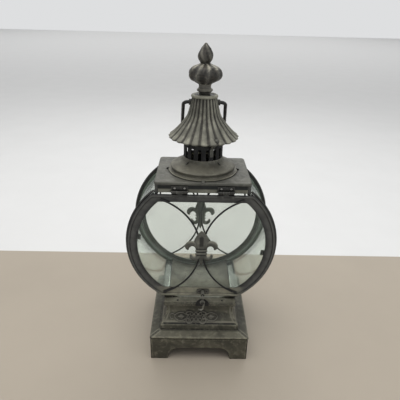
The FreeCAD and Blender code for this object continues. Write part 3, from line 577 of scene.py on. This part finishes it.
# The look of each material slot, and of each node that differs from its slot.
looks = {
    "base_zinc": patina("base_zinc", *BASE, outline=0.95, dust=0.3, grime_and_shade=0.9, edge_width=0.0034, wear=0.8,
                        lined=0.95, line_width=0.0017),
    "roof_zinc": patina("roof_zinc", *ROOF, wear=0.65, dust=0.2, outline=0.9, grime_and_shade=0.85, edge_width=0.0012),
    "ring_zinc": patina("ring_zinc", *RING, wear=0.5, outline=0.9, rough=0.68, metallic=0.15, extra=ring_band),
    "worn_zinc": patina("worn_zinc", *WORN, wear=0.5, grime_and_shade=0.95, crevice_depth=0.0035, dust=0.2, outline=0.9),
    "cast_finial": patina("cast_finial", *FINIAL, rough=0.6, pits=0.9, grain=160.0, grime_and_shade=0.9, wear=0.8,
                          edge_width=0.0011, outline=0.6, dust=0.8, extra=groove_dirt),
    "cast_ornament": patina("cast_ornament", *ORNAMENT, rough=0.5, pits=0.6, outline=0.95, dust=0.6,
                            edge_width=0.0008, extra=relief_light_and_shade),
    "dark_iron": patina("dark_iron", *IRON, wear=0.3, rough=0.45, grime_and_shade=0.5),
    "hinge_iron": patina("hinge_iron", *HINGE, wear=0.8, rough=0.42, metallic=0.6, edge_width=0.0006, outline=0.8),
    "clear_glass": clear_glass("clear_glass", (0.905, 0.915, 0.895), (0.66, 0.72, 0.67)),
}
side_glass = clear_glass("bent_glass", (0.965, 0.972, 0.955), (0.84, 0.87, 0.83), edge_axis="Y")
special = {
    "side_glass_left": side_glass,
    "side_glass_right": side_glass,
    "hinge_rivets": patina("bright_rivet", *RIVET, metallic=0.8, rough=0.35, wear=0.2),
    "chimney": patina("sooty_flue", *FLUE, wear=0.2, metallic=0.1, rough=0.7),
    "cowl_collar": patina("worn_collar", *shades(WORN, 1.3), wear=0.6, outline=0.8, extra=shaded_well),
    # The rear frame's pale inside is painted light.
    "rear_frame": patina("rear_ring", *REAR_RING, wear=0.2, outline=0.5, grime_and_shade=0.4, lined=0.9, extra=painted_light_within),
    "rear_wires": patina("rear_wire", *REAR_WIRE, wear=0.3),
    "door_glass_clips": patina("clip_zinc", *CLIP, wear=0.4),
    "latch_keeper": patina("keeper_zinc", *KEEPER, wear=0.5, outline=0.9, lined=0.9, grime_and_shade=0.95),
    "latch_hook": patina("rubbed_hook", *HOOK, wear=0.6, outline=0.4),
    "drum_floor": patina("floor_sheet", *FLOOR, rough=0.38, grime_and_shade=0.35, wear=0.3),
    "base_panel_front": patina("embossed_sheet", *shades(BASE, 1.18), outline=0.95, dust=0.2, grime_and_shade=0.9,
                               edge_width=0.0034, wear=0.6, extra=pressed_lines),
    "roof_plate": patina("plate_zinc", *ROOF, wear=0.9, dust=0.2, outline=0.9, grime_and_shade=0.85, edge_width=0.0014,
                         lined=0.5),
}
for side in ("front", "back", "left", "right"):
    special["fascia_" + side] = patina("fascia_" + side, *WORN, wear=0.4, grime_and_shade=0.97, outline=0.8,
                                       extra=under_shadow)
    special["plinth_" + side] = patina("plinth_" + side, *shades(BASE, 1.12), outline=0.9, dust=0.3, grime_and_shade=0.8,
                                       edge_width=0.0034, wear=0.7, lined=0.95, line_width=0.0017,
                                       extra=shaded_hollow)
# The side and back panels take the base's tones darkened to 0.72: painted shade on the panels turned from the light.
for side in ("left", "right", "back"):
    special["base_panel_" + side] = patina("slope_" + side, *shades(BASE, 0.72), outline=0.9, dust=0.1, grime_and_shade=0.9,
                                           edge_width=0.0036, wear=0.6, extra=pressed_lines)

slot_of = {entry["node"]: entry["material_slot"] for entry in frame["record"]["subparts"]}
for name, obj in nodes.items():
    dress(obj, special.get(name, looks[slot_of[name]]))
    smooth(obj.data)


# ---- lily ornaments ------------------------------------------------------------------------------
def lily(name, node, out, body, look, breadth=1.0):
    """Cast lily: tapered petals, curled leaves and two bands, welded into one skin.

    It faces out, -1 or 1 along Y, from the back of its CAD node's box. breadth scales its middle petal.
    """
    low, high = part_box(node)
    back = high.y if out < 0 else low.y
    top, foot = high.z / MM, low.z / MM
    waist = foot + 19.0
    bm = bmesh.new()
    petal = [(waist - 6, 5.6), (waist + 2, 6.7), (waist + 8, 8.0), (waist + 14, 9.2), (waist + 19, 7.9),
             (waist + 25, 4.6), (top - 1.8, 1.8)]
    add_stroke(bm, [(0, z, r * breadth) for z, r in petal], height=0.27)
    for s in (-1, 1):
        add_stroke(bm, [(s * 3.6, waist + 5, 2.8), (s * 6.8, waist + 10.0, 3.2), (s * 11.2, waist + 11.8, 3.6),
                        (s * 15.0, waist + 10.4, 3.8), (s * 16.6, waist + 6.8, 3.1), (s * 15.8, waist + 3.8, 1.6)],
                   height=0.62, lift=0.1)
        add_stroke(bm, [(s * 3.0, waist - 4, 2.9), (s * 5.2, waist - 8.0, 3.0), (s * 8.8, waist - 9.2, 2.9),
                        (s * 11.8, waist - 6.6, 2.4), (s * 12.4, waist - 3.2, 1.2)], height=0.6, lift=0.1)
        add_stroke(bm, [(s * 1.5, waist + 22, 0.8), (s * 4.0, waist + 16, 1.1), (s * 5.0, waist + 11, 1.1),
                        (s * 3.6, waist + 6, 0.9)], height=0.9, lift=1.4)
    stem = [(0, waist - 5, 3.4), (0, waist - 10, 2.9), (0, foot + 4, 1.9), (0, foot + 0.8, 0.8)]
    add_stroke(bm, stem, height=0.6)
    for z in (waist + 2.2, waist - 2.0):
        add_stroke(bm, [(-6.6, z - 0.2, 1.5), (0, z, 1.9), (6.6, z - 0.2, 1.5)], lift=0.5)
    for v in bm.verts:
        v.co = Vector((v.co.x, v.co.y * out, v.co.z)) * MM
        v.co.y += back + out * 0.0012
    obj = welded(name, bm, look, voxel=0.00042)
    for v in obj.data.vertices:
        v.co.y = max(low.y, min(high.y, v.co.y))
        v.co.x = max(low.x, min(high.x, v.co.x))
    roughen(obj, amount=0.00022, scale=620.0)
    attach(obj, body)
    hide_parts(node)


lily("door_lily", "door_fleur", -1, "door", looks["cast_ornament"])
lily("rear_lily", "rear_fleur", 1, "lantern",
     patina("pale_ornament", *REAR_ORNAMENT, rough=0.5, grime_and_shade=0.5), breadth=0.84)


# ---- turned and cast pieces ----------------------------------------------------------------------
def revolved(name, stations, material, body, node, steps, around, profile=None, closed=False):
    """Skin turned about the vertical axis through (height, radius) stations in mm.

    It has steps rings between stations and so many points around. profile(turn, height, radius) gives another
    radius, in mm, and how dirty the place is. closed joins the last ring to the first.
    """
    line = curve_through(stations, steps)
    bm = bmesh.new()
    groove = bm.verts.layers.float.new("groove")
    rings = []
    for z, r in line:
        ring = []
        for k in range(around):
            turn = 2 * math.pi * k / around
            reach, darkening = profile(turn, z, r) if profile else (r, 0.0)
            vert = bm.verts.new((reach * math.cos(turn) * MM, reach * math.sin(turn) * MM, z * MM))
            vert[groove] = darkening
            ring.append(vert)
        rings.append(ring)
    pairs = list(zip(rings, rings[1:]))
    if closed:
        pairs.append((rings[-1], rings[0]))
    for a, b in pairs:
        for k in range(around):
            bm.faces.new((a[k], a[(k + 1) % around], b[(k + 1) % around], b[k]))
    if not closed:
        bm.faces.new(list(reversed(rings[0])))
        bm.faces.new(rings[-1])
    bmesh.ops.recalc_face_normals(bm, faces=bm.faces[:])
    obj = new_object(name, bm, material)
    obj.data.shade_smooth()
    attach(obj, body)
    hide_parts(node)
    return obj


def clamp(value):
    return min(1.0, max(0.0, value))


def around_axis(turn, reach, height=0.0):
    return Vector((math.cos(turn) * reach, math.sin(turn) * reach, height))


TWIST_FROM = 350.0


def ribbed(count, depth, twist, start):
    """Sharp raised ribs with hollowed, dirty panels between them.

    depth is a share of the radius; twist is in radians for each mm up from TWIST_FROM, and start in degrees.
    """
    def profile(turn, z, r):
        wave = abs(math.sin(count * (turn - math.radians(start) + twist * (z - TWIST_FROM)) / 2)) ** 0.75
        mottle = clamp(0.9 + 0.7 * noise.noise(around_axis(turn, 2.6, z * 0.16)))
        return r * (1 - depth * wave * min(1.0, r / 14.0 + 0.3)), clamp(2.0 * wave - 0.75) * mottle
    return profile


# Profiles as (height, radius) in mm, from the foot up; the dome's goes up its outside and down its inside.
FINIAL_TOP = 379.9
MELON = [(337.7, 7.2), (339.4, 10.0), (341.6, 14.6), (344.3, 17.9), (347.8, 19.3), (351.4, 18.6), (354.8, 16.0),
         (356.9, 12.6), (358.8, 7.6), (359.6, 6.2)]
BUD = [(359.4, 5.6), (361.0, 6.3), (363.6, 8.1), (367.0, 8.9), (370.2, 8.1), (373.0, 6.5), (375.5, 4.9),
       (377.7, 2.9), (379.3, 1.4), (FINIAL_TOP, 0.4)]
NECK = [(326.8, 6.2), (329.4, 6.7), (330.3, 8.0), (331.5, 8.9), (332.8, 8.7), (334.0, 7.3), (335.6, 6.8),
        (337.2, 7.1), (338.3, 7.5)]
CROWNED_DOME = [(239.65, 40.7), (240.3, 40.9), (240.9, 40.6), (241.1, 39.6), (241.2, 38.4), (241.6, 37.5),
                (242.6, 37.0), (243.9, 37.1), (244.7, 37.6), (245.5, 38.1), (246.3, 37.9), (247.1, 36.9),
                (247.9, 35.3), (249.2, 32.6), (250.6, 29.6), (251.7, 27.2), (252.9, 25.2), (254.4, 23.9),
                (256.6, 23.1), (256.7, 22.75), (252.6, 22.75), (250.6, 24.0), (248.4, 30.0), (244.9, 35.2),
                (241.6, 35.9), (239.65, 36.2)]
FLUE_RADIUS = 22.7


def dome_dents(turn, z, r):
    """Hand-beaten unevenness, less where the dome meets the flue."""
    return r + 0.35 * noise.noise(around_axis(turn, 2.2, z * 0.12)) * min(1.0, (r - FLUE_RADIUS) / 6.0), 0.0


melon = revolved("melon", MELON, looks["cast_finial"], "lantern", "finial_melon", steps=8, around=192,
                 profile=ribbed(count=9, depth=0.10, twist=-0.012, start=-78.0))
roughen(melon, amount=0.0005, scale=330.0)
bud = revolved("bud", BUD, looks["cast_finial"], "lantern", "finial_bud", steps=7, around=128,
               profile=ribbed(count=5, depth=0.10, twist=0.05, start=-70.0))
roughen(bud, amount=0.00042, scale=360.0, keep=lambda co: min(1.0, (FINIAL_TOP * MM - co.z) / 0.002))
neck = revolved("neck", NECK, looks["cast_finial"], "lantern", "finial_neck", steps=6, around=96)
roughen(neck, amount=0.0003, scale=420.0)
revolved("crowned_dome", CROWNED_DOME,
         patina("crowned_zinc", *DOME, wear=0.6, dust=0.3, outline=0.9, grime_and_shade=0.9, crevice_depth=0.004),
         "lantern", "dome", steps=5, around=160, profile=dome_dents, closed=True)


# ---- cowl ----------------------------------------------------------------------------------------
COWL_TOP, COWL_RIM = 324.0, 280.4
COWL = [(COWL_TOP, 14.3), (318.0, 15.7), (311.6, 17.2), (304.5, 19.5), (297.8, 24.0), (289.9, 31.0), (284.6, 36.2),
        (281.4, 40.2), (COWL_RIM, 40.7)]
RIVET_TURNS, RIVET_REACH, RIVET_Z = (-67.5, 112.5), 35.2, 283.9


def fluted_cowl(sheet=0.9, flutes=24, per_flute=16):
    """Bell of thin sheet with rounded ridges and dirty grooves, pressed in round its two rivets."""
    profile = curve_through(COWL, 8)
    rivets = [around_axis(math.radians(turn), RIVET_REACH, RIVET_Z) for turn in RIVET_TURNS]
    around = flutes * per_flute
    bm = bmesh.new()
    groove = bm.verts.layers.float.new("groove")
    skins = []
    for inset in (0.0, sheet):
        rings = []
        for z, r in profile:
            along = (COWL_TOP - z) / (COWL_TOP - COWL_RIM)
            depth = 1.05 + 1.0 * along
            ring = []
            for k in range(around):
                turn = 2 * math.pi * k / around
                wave = 0.5 + 0.5 * math.cos(flutes * turn)
                ridge = wave ** (0.95 - 0.45 * along)
                beat = 0.5 * along * noise.noise(around_axis(turn, 3, z * 0.1))
                reach = r - depth * (1 - ridge) - inset + beat - 0.25
                co = around_axis(turn, reach, z - inset * along)
                press = max(math.exp(-((co - spot).length / 2.6) ** 2) for spot in rivets)
                co -= around_axis(turn, 0.66, 0.75) * 1.2 * press
                vert = bm.verts.new(co * MM)
                low = clamp((0.72 - 0.27 * along - wave) / 0.42)
                vert[groove] = max(low * low * (3 - 2 * low) * (1.0 - 0.1 * along), press)
                ring.append(vert)
            rings.append(ring)
        skins.append(rings)
    outer, inner = skins
    strips = [pair for rings in skins for pair in zip(rings, rings[1:])]
    strips += [(outer[0], inner[0]), (outer[-1], inner[-1])]
    for a, b in strips:
        for k in range(around):
            bm.faces.new((a[k], a[(k + 1) % around], b[(k + 1) % around], b[k]))
    bmesh.ops.recalc_face_normals(bm, faces=bm.faces[:])
    look = patina("fluted_zinc", *FLUTED, wear=0.35, grime_and_shade=0.8, crevice_depth=0.0035, dust=0.2, lined=0.4,
                  extra=groove_dirt)
    obj = new_object("fluted_cowl", bm, look)
    smooth(obj.data, 50.0)
    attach(obj, "lantern")
    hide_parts("cowl")


fluted_cowl()


# ---- embossed panel ------------------------------------------------------------------------------
def drop_on(obj, node, proud):
    """Lays a flat relief (across, depth, up) on the front of a CAD node, its zero depth proud of the surface."""
    target = nodes[node].data
    in_front, missed = cad_bounds[0].y - 0.13, -0.05
    tree = BVHTree.FromPolygons([v.co[:] for v in target.vertices], [p.vertices[:] for p in target.polygons])
    for v in obj.data.vertices:
        hit = tree.ray_cast(Vector((v.co.x, in_front, v.co.z)), Vector((0, 1, 0)))[0]
        v.co.y = (hit.y if hit else missed) + v.co.y - proud


def embossing():
    """Foliage pressed into the front panel: a blossom between paired volutes, a long leaf each side and buds."""
    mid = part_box("base_panel_front")[0].z / MM + 21.4
    centre = -4.5
    bm = bmesh.new()
    for s in (-1, 1):
        strokes = [
            [(2.6, 1.8, 0.7), (5.0, 5.8, 1.0), (9.0, 7.0, 1.1), (12.4, 5.0, 1.1), (11.6, 2.4, 1.0), (8.8, 2.6, 1.0)],
            [(2.4, -2.6, 0.7), (5.6, -6.4, 1.0), (10.0, -6.8, 1.1), (13.0, -4.2, 1.1), (11.2, -2.0, 1.0),
             (8.6, -3.2, 1.0)],
            [(13.0, 2.8, 0.8), (16.8, 5.0, 0.9), (21.5, 5.2, 0.9), (25.4, 3.2, 0.9), (28.0, 0.2, 0.7)],
            [(13.4, -2.4, 0.8), (17.2, -4.6, 0.9), (22.0, -4.6, 0.9), (25.6, -2.8, 0.9), (28.0, 0.2, 0.7)],
            [(15.4, 0.2, 1.1), (19.4, 0.6, 1.9), (23.0, 0.2, 1.1)],
        ]
        if s < 0:
            strokes.append([(27.4, 2.2, 0.7), (30.6, 3.6, 0.9), (33.6, 1.6, 0.8), (32.6, -2.0, 0.8),
                            (30.0, -2.8, 0.7)])
        for stroke in strokes:
            add_stroke(bm, [(centre + s * x, mid + z, r) for x, z, r in stroke], height=1.5, steps=5, sides=8)
    for x, z, size in ((0.0, -3.4, 2.0), (5.0, -3.8, 2.1), (-5.0, -3.8, 2.1), (0.0, 3.4, 2.1), (5.6, 3.2, 2.0),
                       (-5.6, 3.2, 2.0), (10.2, -1.2, 1.8), (-10.2, -1.2, 1.8), (19.0, 0.2, 2.3), (-19.0, 0.2, 2.3)):
        spots = [around_axis(math.radians(36 * k), size) for k in range(11)]
        loop = [(centre + x + spot.x, mid + z + spot.y, 0.75) for spot in spots]
        add_stroke(bm, loop, height=1.5, steps=2, sides=8)
    for x, z, r in ((centre, mid, 1.2), (centre + 31.0, mid + 2.4, 1.0), (centre + 37.5, mid + 2.8, 0.9)):
        add_stroke(bm, [(x - 0.4, z, r), (x + 0.4, z, r)], height=1.3, steps=2, sides=8)
    for rise in (1, -1):
        leaf = [(centre, mid + rise * 4.6, 1.1), (centre, mid + rise * 8.0, 0.6)]
        add_stroke(bm, leaf, height=0.9, steps=3, sides=8)
    for v in bm.verts:
        v.co *= MM
    look = patina("scroll_zinc", *SCROLL, wear=0.5, extra=groove_dirt)
    obj = welded("embossed_scroll", bm, look, voxel=0.00028, soften=1)
    groove = obj.data.attributes.new("groove", "FLOAT", "POINT")
    groove.data.foreach_set("value", [clamp(1.35 + v.co.y / 0.0007) for v in obj.data.vertices])
    drop_on(obj, "base_panel_front", proud=0.0001)
    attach(obj, "lantern")


embossing()


# ---- stage ---------------------------------------------------------------------------------------
def slab(name, x, y, top, thick, material):
    """Plain sheet of the stage, reaching x and y each way from the middle, its upper face at top."""
    bm = bmesh.new()
    bmesh.ops.create_grid(bm, x_segments=1, y_segments=1, size=1.0)
    for v in bm.verts:
        v.co = Vector((v.co.x * x, v.co.y * y, top))
    lower = bmesh.ops.extrude_face_region(bm, geom=bm.faces[:])
    for v in lower["geom"]:
        if isinstance(v, bmesh.types.BMVert):
            v.co.z -= thick
    bmesh.ops.recalc_face_normals(bm, faces=bm.faces[:])
    obj = new_object(name, bm, material)


floor_z = cad_bounds[0].z
slab("table_top", 6.0, TABLE_DEPTH, floor_z - 0.00005, 0.002, plain_stage("table_paint", (0.405, 0.355, 0.29), 0.03))
slab("pale_floor", 12.0, 12.0, floor_z - 0.0021, 0.004, plain_stage("pale_paint", (0.72, 0.72, 0.715), 0.02))
